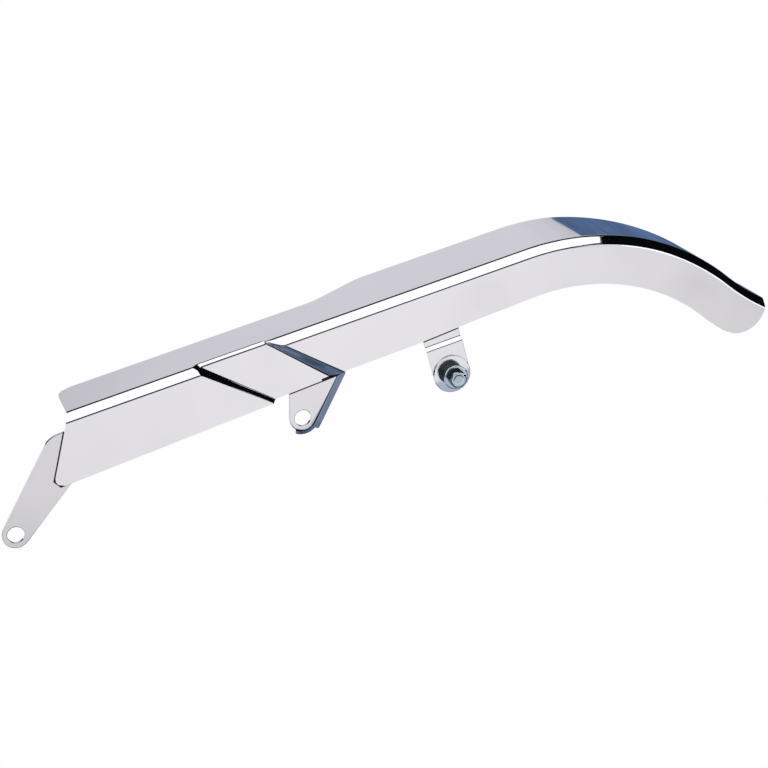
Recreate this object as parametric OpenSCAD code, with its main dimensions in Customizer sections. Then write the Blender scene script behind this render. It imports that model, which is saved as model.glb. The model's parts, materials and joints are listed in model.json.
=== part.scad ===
// Chromed belt guard for the final drive of a motorcycle.
// A pressed sheet shell with a chamfered shoulder, a diagonal recess in its side,
// an arched tail and three fixing points.
// Frame: the origin is the centre of the front fixing hole on the outer face of its tab.
// +X runs to the rear along the straight run, +Y points inwards to the belt, +Z is up.

/* [Sheet and section] */
// Thickness of the pressed sheet
sheet = 1.6; // [1:0.1:3]
// Height of the lower crease of the shoulder above the front hole
crease_z = 74.5; // [60:0.5:90]
// Size of the 45 degree shoulder between side wall and top plate
shoulder = 6; // [3:0.5:12]
// Width of the top plate at the front, from the outer face of the wall
top_w_front = 55.5; // [40:0.5:80]
// Width of the top plate behind the step
top_w_rear = 71.5; // [50:0.5:100]
// Width of the side wall below the lower crease in the arched tail
tail_band = 33.3; // [25:0.1:45]

/* [Straight run] */
// Where the lower crease starts at the front end
front_x = 64; // [50:0.5:80]
// Where the straight run ends and the arch begins
arch_x = 454.7; // [400:0.1:500]
// How far forward the front end leans for each millimetre of drop
front_lean = 0.53; // [0:0.01:1]
// Height of the wall's lower edge at the front corner
front_low_z = 25.2; // [10:0.2:50]
// Radius of the lower front corner
front_corner_r = 6; // [2:0.5:15]
// Radius of the far front corner of the top plate
top_corner_r = 7; // [2:0.5:15]
// Start of the step where the top plate gets wider
step_x0 = 290; // [260:1:320]
// End of that step
step_x1 = 330; // [300:1:360]
// Radius of the two bends in the edge of the step
step_r = 30; // [10:1:60]

/* [Arched tail] */
// Radius of the lower crease over the pulley
arch_r = 202.3; // [150:0.1:260]
// Angle at which the arch turns over into the reverse curve of the tip
arch_a = 53.1301; // [40:0.0001:65]
// Radius of that reverse curve
lip_r = 200; // [100:10:400]
// Radius of the rounded end of the tail
tail_end_r = 25; // [15:0.5:28]
// Angle at which the rounded end begins, measured round the reverse curve
tail_end_a = 47; // [44:0.5:50]
// Where the far edge of the top plate begins to draw in towards the tip
taper_x = 500; // [470:5:560]
// How much narrower the top plate is at the tip
taper_w = 24; // [0:1:40]

/* [Diagonal recess] */
// Depth of the recess, from the wall's outer face to its own outer face
recess_d = 7; // [3:0.5:12]
// Angle of the recess edges below the horizontal
recess_a = 43.5; // [30:0.5:60]
// Where the front edge of the recess crosses half height
recess_x0 = 198.3; // [150:0.1:260]
// Where the rear edge of the recess crosses half height
recess_x1 = 268.4; // [220:0.1:330]
// Half height used for the two values above
recess_z = 52.2; // [40:0.1:60]
// Run of the steep front step along X
step_front_run = 4.6; // [2:0.1:15]
// Run of the shallow rear step along X
step_rear_run = 13.4; // [2:0.1:25]
// Size of the small shoulder above the recess
small_shoulder = 2.2; // [1:0.1:6]

/* [Fixing tabs] */
// Thickness of the tabs and the rear strap
tab_t = 3; // [2:0.1:5]
// Length of the front edge of the front tab above its round end
front_edge_l = 76; // [60:1:90]
// Length of its rear edge
front_rear_l = 94; // [80:1:110]
// Height of the front tab's upper end behind the wall
front_tab_top = 67; // [50:1:72]
// Length of the front edge of the middle tab above its round end
middle_edge_l = 24; // [15:1:40]
// Length of its rear edge
middle_rear_l = 40; // [25:1:60]
// How far the middle tab reaches up behind the recess from there
middle_hold = 28; // [15:1:35]
// Diameter of the front and middle fixing holes
hole_d = 13.5; // [8:0.5:16]
// Radius of the round end of the front tab
front_lobe_r = 11; // [9:0.5:16]
// Radius of the round end of the middle tab
middle_lobe_r = 11; // [9:0.5:16]
// Position of the middle hole along X
middle_x = 242.5; // [220:0.5:270]
// Height of the middle hole
middle_z = 7; // [-10:0.5:20]
// How far the stiffening flange of the middle tab stands out along its rear edge
flange_out = 7; // [2:0.5:10]
// How far it stands out round the lower end
flange_low = 3.5; // [1:0.5:8]
// How far the flange is swept back for each millimetre that it stands out
flange_sweep = 0.5; // [0.2:0.1:1]
// Thickness of the flange
flange_t = 2; // [1:0.1:3]

/* [Rear bracket and bolt] */
// Position of the rear bolt along X
rear_x = 368; // [340:0.5:400]
// Height of the rear bolt
rear_z = 3.5; // [-10:0.5:20]
// Width of the rear strap
strap_w = 31; // [24:0.5:40]
// Outward step of the strap below the wall
joggle = 2.7; // [1:0.1:6]
// Height where the step of the strap begins
joggle_z = 31; // [26:0.5:40]
// Height of the upper end of the strap behind the wall
strap_top_z = 66; // [50:1:72]
// Thickness of the large washer
big_washer_t = 1.6; // [1:0.1:3]
// Outer diameter of the rubber grommet
grommet_d = 21.7; // [18:0.1:28]
// How far the grommet stands out of the large washer
grommet_out = 7.5; // [4:0.1:12]
// Thickness of the grommet's rear flange
grommet_rear = 3; // [2:0.1:6]
// Diameter of the grommet's neck in the strap
neck_d = 16; // [12:0.1:20]
// Outer diameter of the spacer sleeve in the grommet
sleeve_d = 11.5; // [10:0.1:14]
// Diameter of the small washer
small_washer_d = 20; // [15:0.5:24]
// Thickness of the small washer
small_washer_t = 1.7; // [1:0.1:3]
// Diameter of the plain part of the bolt shank
shank_d = 7.9; // [6:0.1:10]
// Diameter of its threaded end, drawn as a plain cylinder half way up the thread
thread_d = 7.1; // [6:0.1:9]
// Length of that threaded end with its chamfer
thread_l = 16.5; // [8:0.5:30]
// Length of the bolt shank under the head
shank_l = 34; // [20:1:60]
// Width across the flats of the bolt head
head_af = 12.7; // [10:0.1:17]
// Height of the bolt head
head_h = 6.3; // [4:0.1:9]
// Gap on the radius between a bore and what passes through it
fit_gap = 0.25; // [0.1:0.05:0.6]
// Gap on the radius between the rubber and the metal it sits in
rubber_gap = 0.05; // [0:0.01:0.2]

/* [Hidden] */
$fn = 96;
// Y of the wall's outer and inner faces
wall_out = -sheet;
wall_in = 0;
top_z = crease_z + shoulder;
// shift of a crease when the face it bounds is moved in by the sheet thickness
nip = round(sheet * tan(22.5) * 100) / 100;
// half height where the section may safely start below every lower edge
low_z = 0;
far_front = wall_out + top_w_front;
far_rear = wall_out + top_w_rear;
// faces of the recess
rec_out = wall_out + recess_d;
rec_in = rec_out + sheet;
// middle tab
mid_y = rec_in;
// how far the straight flange runs on below the start of the round end
flange_run = 4;
// arch
arch_z = crease_z - arch_r;
lip_x = arch_x + (arch_r + lip_r) * sin(arch_a);
lip_z = arch_z + (arch_r + lip_r) * cos(arch_a);
// strap faces
strap_low_y = wall_in - joggle;
strap_back_y = strap_low_y + tab_t;
big_y = strap_low_y - big_washer_t;
small_y = big_y - grommet_out;
head_y = small_y - small_washer_t;
neck_r = neck_d / 2;
bore_r = shank_d / 2 + fit_gap;
sleeve_l = strap_back_y + grommet_rear - small_y;

// a rounding circle is made this much larger, so that it crosses the edges it joins
lap = 0.01;

// unit vector
function unit(v) = v / norm(v);
// centre of a circle of radius r that touches the edges from corner p to a and to b
function round_c(p, a, b, r) =
    let (u = unit(a - p), v = unit(b - p), h = acos(u * v) / 2)
    p + unit(u + v) * r / sin(h);
// point where that circle touches the edge from p to a
function round_t(p, a, b, r) =
    let (u = unit(a - p), v = unit(b - p), h = acos(u * v) / 2)
    p + u * r / tan(h);
// point where a line through c, leaning at angle g, touches a circle round c of radius r
function tangent_at(c, r, g) = c + r * [cos(g), sin(g)];

// flat outline given in X and Z, made solid between y0 and y1
module side_plate(y0, y1) {
    translate([0, y1, 0]) rotate([90, 0, 0]) linear_extrude(y1 - y0) children();
}

// section polygon of the outer body in Y and Z, without the recess
module outer_section() {
    polygon([[wall_out, low_z], [wall_out, crease_z], [wall_out + shoulder, top_z],
             [far_rear, top_z], [far_rear, low_z]]);
}

// the same moved in by the sheet thickness, open at the far side and below
module inner_section() {
    polygon([[wall_in, low_z - 5], [wall_in, crease_z - nip],
             [wall_out + shoulder + nip, top_z - sheet],
             [far_rear + 5, top_z - sheet], [far_rear + 5, low_z - 5]]);
}

// section left standing behind the recess, outer skin
module recess_outer() {
    polygon([[rec_out, low_z - 5], [rec_out, top_z - small_shoulder],
             [rec_out + small_shoulder, top_z], [far_rear + 5, top_z], [far_rear + 5, low_z - 5]]);
}

// the same for the inner skin
module recess_inner() {
    polygon([[rec_in, low_z - 10], [rec_in, top_z - small_shoulder - nip],
             [rec_out + small_shoulder + nip, top_z - sheet],
             [far_rear + 10, top_z - sheet], [far_rear + 10, low_z - 10]]);
}

// a section in Y and Z extruded along X from xa to xb
module along_x(xa, xb) {
    translate([xa, 0, 0]) rotate([90, 0, 90]) linear_extrude(xb - xa) children();
}

// prism of the recess between its two sloping edges, with room g added on every side
module recess_prism(g) {
    k = sin(recess_a);
    p0 = 0;
    p1 = (recess_x1 - recess_x0) * k;
    f0 = step_front_run * k;
    f1 = p1 - step_rear_run * k;
    s0 = f0 / recess_d;
    s1 = (p1 - f1) / recess_d;
    // shift of each sloping face when the sheet thickness is added square to it
    e0 = g * sqrt(1 + s0 * s0);
    e1 = g * sqrt(1 + s1 * s1);
    deep = recess_d + 10;
    translate([recess_x0, wall_out, recess_z])
        rotate([0, recess_a, 0])
            translate([-120, 0, 0]) rotate([90, 0, 90])
                linear_extrude(240)
                    polygon([[-20, p0 - e0 - 20 * s0], [deep, p0 - e0 + deep * s0],
                             [deep, p1 + e1 - deep * s1], [-20, p1 + e1 + 20 * s1]]);
}

// side outline of the straight run, as a solid
module run_outline() {
    top = [front_x + front_lean * (top_z + 2 - crease_z), top_z + 2];
    low = [front_x - front_lean * (crease_z - front_low_z), front_low_z];
    mid = [276, 32.8];
    c = round_c(low, top, mid, front_corner_r);
    side_plate(-30, 120) translate(c) circle(front_corner_r + lap);
    side_plate(-30, 120)
        polygon([top, round_t(low, top, mid, front_corner_r), round_t(low, mid, top, front_corner_r),
                 mid, [286, 36.6], [345, 37.2], [400, 39.8],
                 [arch_x, crease_z - tail_band], [arch_x, top_z + 2]]);
}

// a flat outline given in X and Y, made solid far above and below the part
module tall() {
    translate([0, 0, -10]) linear_extrude(120) children();
}

// plan outline of the straight run, as a solid
module run_plan() {
    a = [step_x0, far_front];
    b = [step_x1, far_rear];
    f = [0, far_front];
    r = [arch_x, far_rear];
    c0 = round_c(a, f, b, step_r);
    c1 = round_c(b, a, r, step_r);
    // the far front corner: its circle reaches a little ahead of the slanted front edge
    cx = front_x + front_lean * (shoulder - sheet) - 0.4 + top_corner_r;
    cy = far_front - top_corner_r;
    difference() {
        union() {
            tall() polygon([[0, -20], [0, far_front], round_t(a, f, b, step_r), round_t(a, b, f, step_r),
                            round_t(b, a, r, step_r), round_t(b, r, a, step_r),
                            [arch_x, far_rear], [arch_x, -20]]);
            intersection() {
                tall() translate(c1) circle(step_r + lap);
                tall() polygon([c1, b - [20, 0], b + [20, 0]]);
            }
        }
        intersection() {
            tall() translate(c0) circle(step_r + lap);
            tall() polygon([c0, a - [20, 0], a + [20, 0]]);
        }
        difference() {
            tall() translate([cx - 60, cy]) square([60, 60]);
            tall() translate([cx, cy]) circle(top_corner_r);
        }
    }
}

// closed section of the sheet as distance outwards from the lower crease against Y
module sheet_section() {
    polygon([[-tail_band, wall_out], [0, wall_out], [shoulder, wall_out + shoulder],
             [shoulder, far_rear], [shoulder - sheet, far_rear],
             [shoulder - sheet, wall_out + shoulder + nip], [-nip, wall_in],
             [-tail_band, wall_in]]);
}

module straight_run() {
    intersection() {
        difference() {
            difference() {
                along_x(0, arch_x) outer_section();
                difference() { recess_prism(0); along_x(-10, arch_x + 10) recess_outer(); }
            }
            difference() {
                along_x(-5, arch_x + 5) inner_section();
                difference() { recess_prism(sheet); along_x(-10, arch_x + 10) recess_inner(); }
            }
        }
        union() run_outline();
        run_plan();
    }
}

// everything behind the radial plane where the arch ends
module behind_arch() {
    translate([arch_x, 0, arch_z]) rotate([0, arch_a, 0]) translate([0, -20, 0]) cube([300, 150, 400]);
}

// a place in X and Z set in two steps, whole millimetres first, to keep its full precision
module place(x, z) {
    translate([floor(x), 0, floor(z)]) translate([x - floor(x), 0, z - floor(z)]) children();
}

module arch() {
    difference() {
        translate([arch_x, 0, arch_z]) rotate([-90, 0, 0]) rotate([0, 0, -90])
            rotate_extrude(angle = 80) translate([arch_r, 0]) sheet_section();
        behind_arch();
    }
}

module lip() {
    end_r = lip_r + tail_band - tail_end_r;
    difference() {
        intersection() {
            place(lip_x, lip_z) rotate([-90, 0, 0]) rotate([0, 0, 90])
                rotate_extrude(angle = 90) translate([lip_r, 0]) mirror([1, 0]) sheet_section();
            behind_arch();
        }
        // what lies beyond the rounded end
        place(lip_x, lip_z) rotate([0, tail_end_a, 0]) difference() {
            translate([0, -25, -lip_r - 100]) cube([200, 150, 200]);
            translate([0, -30, -end_r]) rotate([-90, 0, 0])
                cylinder(r = tail_end_r + lap, h = 160, $fn = 144);
        }
    }
}

// what the far edge of the top plate leaves out towards the tip
module beyond_taper() {
    end_x = taper_x + 160;
    translate([0, 0, -100]) linear_extrude(250)
        polygon([[taper_x, far_rear], [end_x, far_rear - taper_w], [end_x, far_rear + 20],
                 [taper_x, far_rear + 20]]);
}

module guard_shell() {
    color("silver") difference() {
        union() { straight_run(); arch(); lip(); }
        beyond_taper();
    }
}

module bore_y(x, z, r, y0, y1) {
    translate([x, y0, z]) rotate([-90, 0, 0]) cylinder(r = r, h = y1 - y0);
}

module front_tab() {
    // the front edge leans at 46.7 degrees and the rear edge at 36 degrees
    ga = 46.7;
    gb = 36;
    o = [0, 0];
    ta = tangent_at(o, front_lobe_r, ga + 90);
    tb = tangent_at(o, front_lobe_r, gb - 90);
    ea = ta + front_edge_l * [cos(ga), sin(ga)];
    eb = tb + front_rear_l * [cos(gb), sin(gb)];
    w = front_lobe_r / 2;
    color("silver") difference() {
        union() {
            side_plate(wall_in, wall_in + tab_t) circle(front_lobe_r + lap);
            side_plate(wall_in, wall_in + tab_t)
                polygon([ta, ea, [ea[0] + 2 * w, front_tab_top], [eb[0] + w, front_tab_top],
                         [eb[0] + w, eb[1] + w], eb, tb]);
        }
        bore_y(0, 0, hole_d / 2, wall_in - 1, wall_in + tab_t + 1);
    }
}

module middle_tab() {
    // the front edge leans at 74.5 degrees and the rear edge at 48.5 degrees
    ga = 74.5;
    gb = 48.5;
    o = [middle_x, middle_z];
    ta = tangent_at(o, middle_lobe_r, ga + 90);
    tb = tangent_at(o, middle_lobe_r, gb - 90);
    el = ta + middle_edge_l * [cos(ga), sin(ga)];
    eb = tb + middle_rear_l * [cos(gb), sin(gb)];
    w = middle_lobe_r;
    h = middle_hold;
    color("silver") difference() {
        union() {
            side_plate(mid_y, mid_y + tab_t) translate(o) circle(middle_lobe_r + lap);
            side_plate(mid_y, mid_y + tab_t)
                polygon([ta, el, el + [-1.2 * w, h - w / 4], el + [-0.8 * w, h], el + [w / 2, h],
                         eb + [-0.7 * w, 0.6 * w], eb, tb]);
            // flange round the lower end
            translate([middle_x, mid_y, middle_z]) rotate([-90, 0, 0]) rotate([0, 0, 90 - gb])
                rotate_extrude(angle = 98)
                    polygon([[w - 1, 0], [w, 0], [w + flange_low, flange_low * flange_sweep],
                             [w + flange_low, flange_low * flange_sweep + flange_t],
                             [w - 1, tab_t]]);
            // flange along the rear edge, which runs on to a corner below the round end
            translate([tb[0], mid_y, tb[1]]) rotate([0, -gb, 0]) translate([-flange_run, 0, 0])
                rotate([90, 0, 90]) linear_extrude(middle_rear_l - 4 + flange_run)
                    polygon([[0, 1], [0, 0], [flange_out * flange_sweep, -flange_out],
                             [flange_out * flange_sweep + flange_t, -flange_out], [tab_t, 1]]);
        }
        bore_y(middle_x, middle_z, hole_d / 2, mid_y - 1, mid_y + tab_t + 6);
    }
}

module strap_section() {
    // Y and Z section of the strap, drawn from the top end down through the step
    z0 = joggle_z;
    z1 = joggle_z - joggle;
    n = tab_t * tan(22.5);
    polygon([[wall_in, strap_top_z], [wall_in, z0], [strap_low_y, z1], [strap_low_y, rear_z],
             [strap_back_y, rear_z], [strap_back_y, z1 - n], [wall_in + tab_t, z0 - n],
             [wall_in + tab_t, strap_top_z]]);
}

module rear_bracket() {
    color("silver") difference() {
        union() {
            along_x(rear_x - strap_w / 2, rear_x + strap_w / 2) strap_section();
            bore_y(rear_x, rear_z, strap_w / 2, strap_low_y, strap_back_y);
        }
        bore_y(rear_x, rear_z, neck_r + rubber_gap, strap_low_y - 1, strap_back_y + 1);
    }
}

module ring_y(x, z, r1, r0, y0, y1) {
    difference() {
        bore_y(x, z, r1, y0, y1);
        bore_y(x, z, r0, y0 - 1, y1 + 1);
    }
}

module large_washer() {
    color("silver") ring_y(rear_x, rear_z, strap_w / 2, neck_r + rubber_gap, big_y, strap_low_y);
}

module rubber_grommet() {
    h1 = grommet_out;
    h2 = strap_back_y - big_y;
    r = grommet_d / 2;
    color("dimgray") translate([rear_x, small_y, rear_z]) rotate([-90, 0, 0])
        rotate_extrude()
            polygon([[sleeve_d / 2 + rubber_gap, 0], [r - 0.8, 0], [r, 0.8], [r, h1 / 2 - 0.8],
                     [r - 0.8, h1 / 2], [r, h1 / 2 + 0.8], [r, h1], [neck_r, h1],
                     [neck_r, h1 + h2], [r, h1 + h2], [r, h1 + h2 + grommet_rear - 0.8],
                     [r - 0.8, h1 + h2 + grommet_rear],
                     [sleeve_d / 2 + rubber_gap, h1 + h2 + grommet_rear]]);
}

module spacer_sleeve() {
    color("lightgray") ring_y(rear_x, rear_z, sleeve_d / 2, bore_r, small_y, small_y + sleeve_l);
}

module flat_washer() {
    color("lightgray") ring_y(rear_x, rear_z, small_washer_d / 2, bore_r, head_y, small_y);
}

module hex_bolt() {
    c = 1.1;
    r = head_af / 2 / cos(30);
    color("lightgray") translate([rear_x, head_y, rear_z]) rotate([-90, 0, 0]) union() {
        intersection() {
            translate([0, 0, -head_h]) rotate([0, 0, 12]) cylinder(r = r, h = head_h, $fn = 6);
            union() {
                translate([0, 0, -head_h]) cylinder(r1 = r - c * 1.7, r2 = r + 0.02, h = c);
                translate([0, 0, c - head_h]) cylinder(r = r + 0.02, h = head_h - c);
            }
        }
        translate([0, 0, -0.5]) cylinder(d = shank_d, h = shank_l - thread_l + 0.5);
        translate([0, 0, shank_l - thread_l - 0.5]) cylinder(d = thread_d, h = thread_l - 0.5);
        translate([0, 0, shank_l - 1]) cylinder(d1 = thread_d, d2 = thread_d - 2, h = 1);
    }
}

guard_shell();
front_tab();
middle_tab();
rear_bracket();
large_washer();
rubber_grommet();
spacer_sleeve();
flat_washer();
hex_bolt();
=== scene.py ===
"""Belt guard of a motorcycle: a chromed pressed sheet with two tabs, a strap, a rubber mount and a bolt.

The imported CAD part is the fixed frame. Each operator makes one piece or one group of like pieces
round it, and the last ones make the studio. Lengths inside the functions are in millimetres.
"""
import json
import math

import bmesh
import bpy
import numpy as np
from bpy.props import FloatProperty, FloatVectorProperty, PointerProperty
from mathutils import Matrix, Vector


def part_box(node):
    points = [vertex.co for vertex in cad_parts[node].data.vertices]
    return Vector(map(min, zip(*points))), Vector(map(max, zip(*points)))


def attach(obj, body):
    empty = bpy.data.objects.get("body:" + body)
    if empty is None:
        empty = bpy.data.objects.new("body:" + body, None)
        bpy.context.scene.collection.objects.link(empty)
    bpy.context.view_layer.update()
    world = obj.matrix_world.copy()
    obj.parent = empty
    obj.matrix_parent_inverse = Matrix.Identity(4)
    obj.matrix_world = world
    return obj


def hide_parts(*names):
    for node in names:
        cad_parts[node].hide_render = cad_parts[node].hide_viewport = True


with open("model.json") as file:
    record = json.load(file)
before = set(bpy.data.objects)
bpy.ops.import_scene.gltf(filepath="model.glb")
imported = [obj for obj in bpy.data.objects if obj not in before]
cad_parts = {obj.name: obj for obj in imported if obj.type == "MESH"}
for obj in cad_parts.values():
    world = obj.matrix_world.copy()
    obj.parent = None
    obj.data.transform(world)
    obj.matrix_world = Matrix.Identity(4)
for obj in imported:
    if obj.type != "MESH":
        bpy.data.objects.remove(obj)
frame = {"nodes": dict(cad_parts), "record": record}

bl_info = {
    "name": "Belt guard",
    "version": (1, 0, 0),
    "blender": (4, 5, 0),
    "location": "View3D > Sidebar > Belt guard",
    "description": "Builds the visual model of a chromed motorcycle belt guard round its CAD frame",
    "category": "Add Mesh",
}

MM = 0.001
MOUNTS = {m["name"]: np.array(m["pos_m"]) / MM for m in frame["record"]["mounts"]}


def box_mm(node):
    """Lowest and highest corner of a CAD node in millimetres."""
    low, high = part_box(node)
    return np.array(low) / MM, np.array(high) / MM


SHELL_LOW, SHELL_HIGH = box_mm("guard_shell")
STRAP_LOW, STRAP_HIGH = box_mm("rear_bracket")
WASHER_LOW, WASHER_HIGH = box_mm("large_washer")
GROMMET_LOW, GROMMET_HIGH = box_mm("rubber_grommet")
SMALL_LOW, SMALL_HIGH = box_mm("flat_washer")
BOLT_LOW, BOLT_HIGH = box_mm("hex_bolt")

# Turn of the arch over the pulley, and place of the round end's centre on the lip
ARCH_ANGLE = math.radians(53.1301)
TAIL_END_ANGLE = math.radians(47)
# Lower edge of the wall's straight run: distances along X and heights above the front hole
LOWER_EDGE_X = (37.9, 276, 286, 345, 400, 454.7)
LOWER_EDGE_Z = (25.2, 32.8, 36.6, 37.2, 39.8, 41.2)
# Edges of the wall that tabs and strap come out from under, each as two points in X and Z, along which their
# chrome gets a band of painted shade
FRONT_EDGE = ((64, 74.5), (40.15, 29.5))
LOWER_EDGE = ((37.9, 25.2), (276, 32.8))
CORNER_EDGE = ((42.9, 28.3), (43.43, 27.45))
STRAP_EDGE = ((345, 37.2), (400, 39.8))
# The wall's own cut edge just behind the recess, where the sheet's chrome gets a band of painted shade: a line
# along it and the lines at its two ends
CUT_EDGE = (((305, 35.35), (268, 33.6)), ((305, 0), (305, 10)), ((266, 10), (266, 0)))
# Half height of the recess, and where its two edges cross it
RECESS_Z = 52.2
RECESS_FRONT_X = 198.3
RECESS_REAR_X = 265.4
# Where the front step reaches the recess's floor, and the runs of the two steps along X: the front one at
# the crease, half way down and at the lower edge, the rear one at the crease and at the lower edge
FRONT_STEP_END = 4.6
FRONT_RUNS = (6.3, 4.6, 2.8)
REAR_RUNS = (6.7, 10.9)
# Half runs of the front step's two bends, and how much sharper the upper crease gets in the recess
FRONT_BENDS = (0.4, 0.9)
SHARPER = 0.6
# Height of the wall below the crease, and of the shoulder that the recess leaves
WALL_HEIGHT = 37
SMALL_SHOULDER = 2.2
# Radii of the wall's lower front corner and of the top plate's far front corner, and the runs behind the
# front end over which both fade out
FRONT_CORNER_R = 6
TOP_CORNER_R = 11
FRONT_FADE = 25
TOP_FADE = 40
# Stations lean as the front end does, then from here as the recess's edge does, then stand upright again
LEAN_AT = 168
UPRIGHT = (250, 380)
# Last stretch of the tail, drawn in or out so that it ends on the round end
TAIL_RUN = 75
# The step in the far edge of the top plate, and its taper along X
STEP_X = (290, 330)
TAPER_X = (500, 660)
# Rounding of the sheet's cut edges, and of the edges of both washers and the rubber
SHEET_EDGE = 0.75
LARGE_WASHER_EDGE = 0.45
SMALL_WASHER_EDGE = 0.7
RUBBER_EDGE = 0.4
# Half the run along a tab's outline over which its corners are rounded
CORNER_SPREAD = 2.6
# Height where the strap starts to step outwards, and half the run of its bends
JOGGLE_Z = 31
JOGGLE_BEND = 0.8
# Radii in the bolt's stack: hole of the large washer, neck and bore of the rubber, shank of the bolt
WASHER_HOLE_R = 8.1
NECK_R = 8
RUBBER_BORE_R = 5.8
SHANK_R = 3.95
# The small washer's bore as a share of the bolt head's width
SMALL_BORE_SHARE = 0.57
# How much smaller the visible rubber is in radius than its CAD node, and the depth of its groove
RUBBER_SMALLER = 1.5
GROOVE = 0.9
# Bolt head: its turn in degrees, the chamfer's start as a share of the hexagon and its slope in degrees,
# and the depth of the dished face and its radius as a share of the chamfer's start
HEAD_TURN = 12
CHAMFER_START = 0.93
CHAMFER_SLOPE = 30
FACE_DISH = 0.12
FACE_DISH_R = 0.62
# Length of the thread's pointed end, and how much of the radius each millimetre of it takes
POINT_LENGTH = 1.6
POINT_SLOPE = 0.6
# Painted shade: a dark band on the chrome along the wall's edge, where the tabs and the strap meet it. Its
# colour, how softly it starts, and its width on the front tab, on the middle tab and the strap, and on the
# wall's own cut edge
PAINTED_SHADE_COLOUR = "2a2524"
PAINTED_SHADE_SOFT = 0.3
FRONT_PAINTED_SHADE = 1.0
PAINTED_SHADE_WIDTH = 1.9
CUT_PAINTED_SHADE = 0.7
# How bright the tabs and the strap are beside the sheet: painted shade, the same chrome made darker
FRONT_TAB_SHADE = 0.89
MIDDLE_TAB_SHADE = 0.94
STRAP_SHADE = 0.99
# Polished chrome: least and most roughness, spacing of the press ripple and its height in millimetres
POLISH = (0.015, 0.05, 45, 0.02)
# Where the photograph was taken from, with the picture's right and up
CAMERA_PLACE = (-1.81, -1440.03, 641.10)
CAMERA_RIGHT = (0.92160482, -0.30535971, -0.23958299)
CAMERA_UP = (0.33496004, 0.31390435, 0.88840634)


def length(mm, name, description):
    """A length property, stored in metres and given here in millimetres."""
    return FloatProperty(name=name, description=description, default=mm * MM, unit="LENGTH", precision=5)


def colour(hex_value, name, description):
    """A colour property given as an sRGB hex value."""
    return FloatVectorProperty(name=name, description=description, default=linear(hex_value),
                               size=3, subtype="COLOR", min=0, max=1)


def linear(hex_value):
    """Turns an sRGB hex value such as "c8c9d3" into linear red, green and blue."""
    srgb = np.array([int(hex_value[i:i + 2], 16) for i in (0, 2, 4)]) / 255
    low, high = srgb / 12.92, ((srgb + 0.055) / 1.055) ** 2.4
    return tuple(float(v) for v in np.where(srgb <= 0.04045, low, high))


class GuardShellSizes(bpy.types.PropertyGroup):
    """Sizes of the pressed sheet"""
    crease_z: length(74.5, "Crease height", "Height of the lower crease above the front hole")
    sheet: length(1.6, "Sheet", "Thickness of the pressed sheet")
    bend: length(1.25, "Bend", "Half the run of a rounded bend of the sheet")
    top_front: length(55.5, "Front top width", "Width of the top plate at the front")
    front_x: length(64, "Front end", "Where the lower crease starts")
    arch_x: length(454.7, "Arch start", "Where the straight run ends")
    arch_r: length(202.3, "Arch radius", "Radius of the lower crease over the pulley")
    lip_r: length(200, "Lip radius", "Radius of the reverse curve of the tip")
    tail_band: length(33.3, "Tail wall", "Width of the wall in the arched tail")
    tail_end_r: length(25, "Tail end", "Radius of the rounded end of the tail")
    recess_depth: length(7, "Recess depth", "Depth of the diagonal recess")
    taper: length(24, "Taper", "How much the top plate narrows towards the tip")
    front_lean: FloatProperty(name="Front lean", description="Run of the front end for each unit of drop",
                              default=0.53, subtype="FACTOR")
    recess_angle: FloatProperty(name="Recess angle", default=math.radians(43.5), subtype="ANGLE",
                                description="Slope of the recess edges below the horizontal")


class TabSizes(bpy.types.PropertyGroup):
    """Sizes of the two tabs and the strap"""
    thickness: length(3, "Thickness", "Thickness of the tabs and the strap")
    hole: length(13.5, "Hole", "Diameter of the fixing holes")
    lobe: length(11, "Round end", "Radius of the round end of a tab")
    flange: length(7, "Flange", "How far the middle tab's flange stands out along its rear edge")
    flange_low: length(3.5, "Low flange", "How far it stands out round the lower end")
    edge: length(0.25, "Edge rounding", "Rounding of the cut edges")


class FixingSizes(bpy.types.PropertyGroup):
    """Sizes of the washers and the bolt"""
    dish: length(0.02, "Dish", "How far the large washer is dished")
    pitch: length(1.41, "Thread pitch", "Pitch of the bolt's thread")
    thread_depth: length(0.6, "Thread depth", "Depth of the thread drawn on the bolt")
    flats: length(12.7, "Across flats", "Width of the bolt head across its flats")


class FinishColours(bpy.types.PropertyGroup):
    """Colours of the finishes and the floor"""
    chrome: colour("eeeef0", "Chrome", "Colour of the polished chrome")
    chrome_inside: colour("c9c9cb", "Chrome inside", "Colour of the thin chrome on the inner side")
    zinc: colour("d0dfe7", "Zinc", "Colour of the blue-passivated zinc")
    rubber: colour("131415", "Rubber", "Colour of the moulded rubber")
    floor: colour("f4f4f4", "Floor", "Colour of the studio floor")


def ramp(x, h):
    """Zero, then a straight line of slope 1, with the corner at 0 averaged over h on both sides."""
    return (np.maximum(x + h, 0) ** 2 - np.maximum(x - h, 0) ** 2) / (4 * h)


def smooth(x):
    """The smooth step 3x^2 - 2x^3 between 0 and 1."""
    x = np.clip(x, 0, 1)
    return x * x * (3 - 2 * x)


def rounded_loop(corners, radius):
    """A closed outline whose corners are quadratic curves from radius before to radius after each corner."""
    c = np.asarray(corners, float)
    before, after = np.roll(c, 1, 0) - c, np.roll(c, -1, 0) - c
    a = c + before / np.linalg.norm(before, axis=1, keepdims=True) * radius
    b = c + after / np.linalg.norm(after, axis=1, keepdims=True) * radius
    t = np.linspace(0, 1, 5)[None, :, None]
    curve = (1 - t) ** 2 * a[:, None] + 2 * t * (1 - t) * c[:, None] + t ** 2 * b[:, None]
    return curve.reshape(-1, c.shape[1])


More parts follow.
